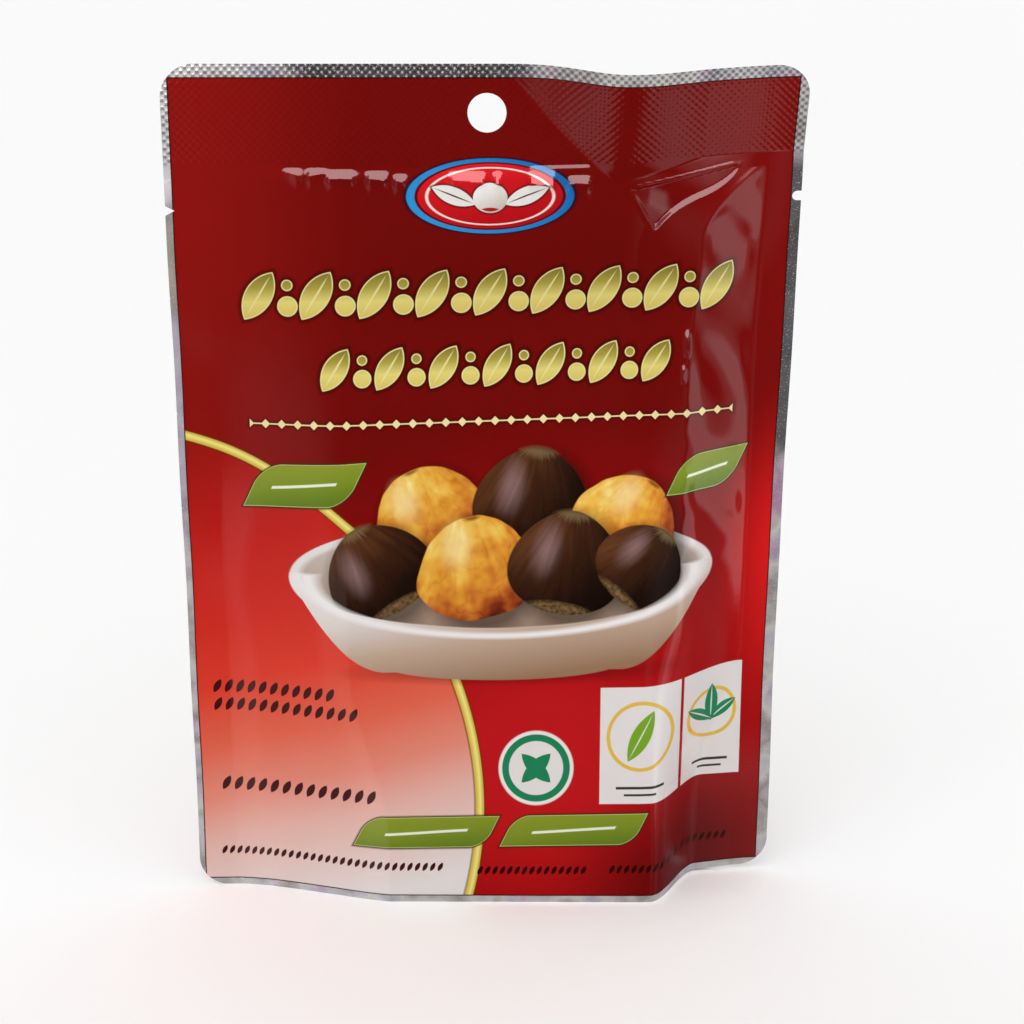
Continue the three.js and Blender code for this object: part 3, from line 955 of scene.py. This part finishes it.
def finish(name, draw, metal, coat, bump_of, roughness_of):
    """A material from its ink, its metal and coat, its fine relief and its roughness."""
    material = bpy.data.materials.new(name)
    material.use_nodes = True
    tree = material.node_tree
    shader = tree.nodes["Principled BSDF"]
    ink = Ink(tree)
    draw(ink)
    tree.links.new(ink.colour, shader.inputs["Base Color"])
    for entry, value in (("Metallic", metal), ("Specular IOR Level", 0), ("Coat Weight", coat)):
        shader.inputs[entry].default_value = value
    tree.links.new(roughness_of(ink).output, shader.inputs["Roughness"])
    height, depth = bump_of(ink)
    bump = tree.nodes.new("ShaderNodeBump")
    bump.inputs["Distance"].default_value = depth * MM
    tree.links.new(height.output, bump.inputs["Height"])
    tree.links.new(bump.outputs["Normal"], shader.inputs["Normal"])
    if coat:
        tree.links.new(bump.outputs["Normal"], shader.inputs["Coat Normal"])
        tree.links.new(crazing(ink).output, shader.inputs["Coat Roughness"])
    return material


def crazing(ink):
    """The clear coat's roughness: smooth, but crazed by fine creases at the foot of the flank."""
    return ink.u.step(35, 41) * ink.s.step(38, 22) * 0.26 + 0.04


def orange_peel(ink):
    """Fine relief, and its depth in millimetres."""
    broad, fine = ink.noise(ink.u / 3, ink.s / 3, 1), ink.noise(ink.u / 0.8, ink.s / 0.8, 2)
    return broad * 0.7 + fine * 0.3, 0.01


def ribs(ink):
    return ink.noise(ink.u / 0.9, ink.s / 0.25, 3), 0.02


def printed(name, paint):
    """Glossy film: ink over foil, under a clear coat."""
    def draw(ink):
        backdrop(ink)
        paint(ink)
    return finish(name, draw, 0.1, 1, orange_peel,
                  lambda ink: ink.noise(ink.u / 9, ink.s / 9, 4) * 0.1 + 0.3)


# Tints and painted dark and bright reflections of the foil's border: side, heights over which each
# comes in and goes, strength, colour.
FOIL_TINTS_AND_PAINTED_REFLECTIONS = ((-1, (126, 134), (152, 147), 0.7, (186, 176, 152)),
              (-1, (60, 100), (134, 126), 0.5, (186, 172, 200)),
              (1, (93, 99), (160, 156), 0.85, (70, 68, 70)),
              (1, (79, 84), (94, 90), 0.6, (196, 140, 184)),
              (-1, (148, 156), (182, 181), 0.6, (255, 254, 252)))


def foil_tints_and_painted_reflections(ink):
    """Satin foil with painted reflections, darker and lighter along the edge, with faint tints,
    painted shade and highlights on the knurl's dots, and fine painted glints.
    """
    u, s = ink.u, ink.s
    # Painted reflection: lighter and darker grey patches for what the foil mirrors.
    patches = ink.noise(u / 14, s / 14, 5, 3)
    ink.colour = ink.ramp(patches, ((0.3, (132, 128, 136)), (0.42, (206, 202, 210)),
                                    (0.5, (226, 223, 220)), (0.6, (172, 166, 162)),
                                    (0.7, (222, 206, 220))))
    ink.lay(ink.noise(u / 5, s / 9, 12, 2).step(0.56, 0.7) * 0.4, (214, 160, 200))
    for side, foot, top, strength, tint in FOIL_TINTS_AND_PAINTED_REFLECTIONS:
        ink.lay((u * side).step(50, 60) * s.step(*foot) * s.step(*top) * strength, tint)
    # Painted reflection: a dark strip along the middle of the top edge, where the foil mirrors the
    # dark studio.
    ink.lay(s.step(176, 177) * u.step(-46, -34) * u.step(16, 2) * 0.85, (42, 40, 43))
    turns = 2 * np.pi / KNURL["pitch"]
    dots = math("COSINE", u * turns) * math("COSINE", s * turns)
    in_seal = s.step(BAND_FOOT - 0.5, BAND_FOOT + 0.5)
    # Painted shade in the knurl's hollows, and painted highlights on its dots.
    ink.lay(dots.step(0.1, -0.5) * in_seal * 0.6, (52, 50, 54))
    ink.lay(dots.step(0.35, 0.9) * in_seal * 0.6, (250, 248, 248))
    # Fine painted glints.
    ink.lay(ink.noise(u / 0.35, s / 0.35, 8, 1).step(0.6, 0.75) * 0.6, (250, 246, 248))


# Each region of the front has a material with only its own drawing.
REGIONS = (
    ("print_emblem", emblem, (-19, 19), (144.5, 163.5)),
    ("print_titles", titles, (-58, 59), (103, 141)),
    ("print_picture", picture, (-54, 61), (49.4, 103)),
    ("print_seals", seals, (-31, 61), (11, 49.4)),
)


def choose_region(centres):
    """The front's material at each face: 0 for notes, 1 for foil, and then the regions."""
    u, _, s = centres.T
    choice = np.zeros(len(u), int)
    for number, (_, _, (left, right), (low, high)) in enumerate(REGIONS, 2):
        choice[(u > left) & (u < right) & (s > low) & (s < high)] = number
    choice[choose_foil(centres)] = 1
    return choice


# ---- floor, light and camera ----
def floor():
    bpy.ops.mesh.primitive_plane_add(size=12)
    ground = bpy.context.object
    ground.name = "floor"
    paper = bpy.data.materials.new("floor")
    paper.use_nodes = True
    shader = paper.node_tree.nodes["Principled BSDF"]
    shader.inputs["Base Color"].default_value = (0.9, 0.9, 0.9, 1)
    shader.inputs["Roughness"].default_value = 0.9
    ground.data.materials.append(paper)
    ground.visible_glossy = False


def softbox(name, location, target, size, strength):
    """A rectangular area light that faces target; strength is its radiance."""
    light = bpy.data.lights.new(name, "AREA")
    light.shape = "RECTANGLE"
    light.size, light.size_y = size
    light.energy = strength * np.pi * size[0] * size[1]
    lamp = add_object(name, light)
    lamp.location = location
    way = np.array(target) - np.array(location)
    lamp.rotation_euler = (np.arctan2(np.hypot(way[0], way[1]), -way[2]), 0,
                           np.arctan2(way[1], way[0]) - np.pi / 2)
    lamp.visible_glossy = False


# Soft panels that the film mirrors: heading and height in degrees (0, 0 is straight out of the
# front panel), half the width and height, soft edge and light.
MIRRORED = (
    ((8, 44), (54, 30), 2.5, 4.4), ((10, 44), (92, 30), 6, 0.8), ((-88, 0), (16, 30), 4, 0.6),
    ((66, -4), (9, 16), 3, 1.15), ((54, -4), (4, 16), 4, 0.4), ((84, -4), (10, 26), 8, 0.14),
    ((28, -12), (8, 30), 8, 0.13), ((-44, -8), (22, 34), 12, 0.16), ((62, -43), (34, 6), 3, 0.55),
    ((-50, -41), (20, 6), 3, 0.5), ((-24, -24), (12, 8), 4, 0.3), ((37, -34), (6, 4.5), 2, 1.1),
    ((180, 20), (60, 24), 14, 1.6), ((130, 10), (14, 30), 6, 1.2),
)
MIRRORED_ROUND = 0.02


def surroundings():
    """White all round, but the glossy film mirrors a dark studio with a few soft panels."""
    world = bpy.data.worlds.new("world")
    world.use_nodes = True
    tree = world.node_tree
    split = tree.nodes.new("ShaderNodeSeparateXYZ")
    tree.links.new(tree.nodes.new("ShaderNodeTexCoord").outputs["Generated"], split.inputs[0])
    x, y, z = (Field(tree, split.outputs[axis]) for axis in "XYZ")
    heading = math("ARCTAN2", x, -y) * (180 / np.pi)
    height = math("ARCSINE", z) * (180 / np.pi)
    light = MIRRORED_ROUND
    for (around, above), (half_width, half_height), soft, strength in MIRRORED:
        across = abs((heading - around).cell(360)).step(half_width + soft, half_width - soft)
        up = abs(height - above).step(half_height + soft, half_height - soft)
        light = across * up * strength + light
    mirrored = Field(tree, tree.nodes.new("ShaderNodeLightPath").outputs["Is Glossy Ray"])
    total = mirrored * light + (1 - mirrored)
    background = tree.nodes["Background"]
    background.inputs["Color"].default_value = (1, 1, 1, 1)
    tree.links.new(total.output, background.inputs["Strength"])
    world.cycles.sampling_method = "NONE"
    bpy.context.scene.world = world


# The photograph's camera, worked out from the pouch's outline; it looks down by its tilt.
CAMERA = {"place": (0.005, -0.41648, 0.214), "tilt": 17.1, "lens": 71.72, "sensor": 36}


def camera():
    lens = bpy.data.cameras.new("camera")
    lens.lens, lens.sensor_width = CAMERA["lens"], CAMERA["sensor"]
    lens.clip_start, lens.clip_end = 0.01, 100
    eye = add_object("camera", lens)
    eye.location = CAMERA["place"]
    eye.rotation_euler = (np.radians(90 - CAMERA["tilt"]), 0, 0)
    bpy.context.scene.camera = eye


# ---- the scene ----
foil = finish("bare_foil", foil_tints_and_painted_reflections, 0.45, 0, ribs,
              lambda ink: ink.noise(ink.u / 5, ink.s / 5, 6) * 0.2 + 0.14)
front = [printed("print_notes", notes), foil]
front += [printed(name, paint) for name, paint, _, _ in REGIONS]
back = [printed("print_back", back_print), foil]
panel("front_panel", -1, PANEL_STEP, front, choose_region)
panel("back_panel", 1, BACK_STEP, back, choose_foil)
seal("top_seal_front", -1, front, choose_region)
seal("top_seal_back", 1, back, choose_foil)
gusset([foil])

floor()
surroundings()
softbox("softbox_top", (-0.2, -0.5, 0.8), (0, 0, 0.1), (0.6, 0.4), 1.2)
camera()
bpy.context.scene.view_settings.view_transform = "Standard"
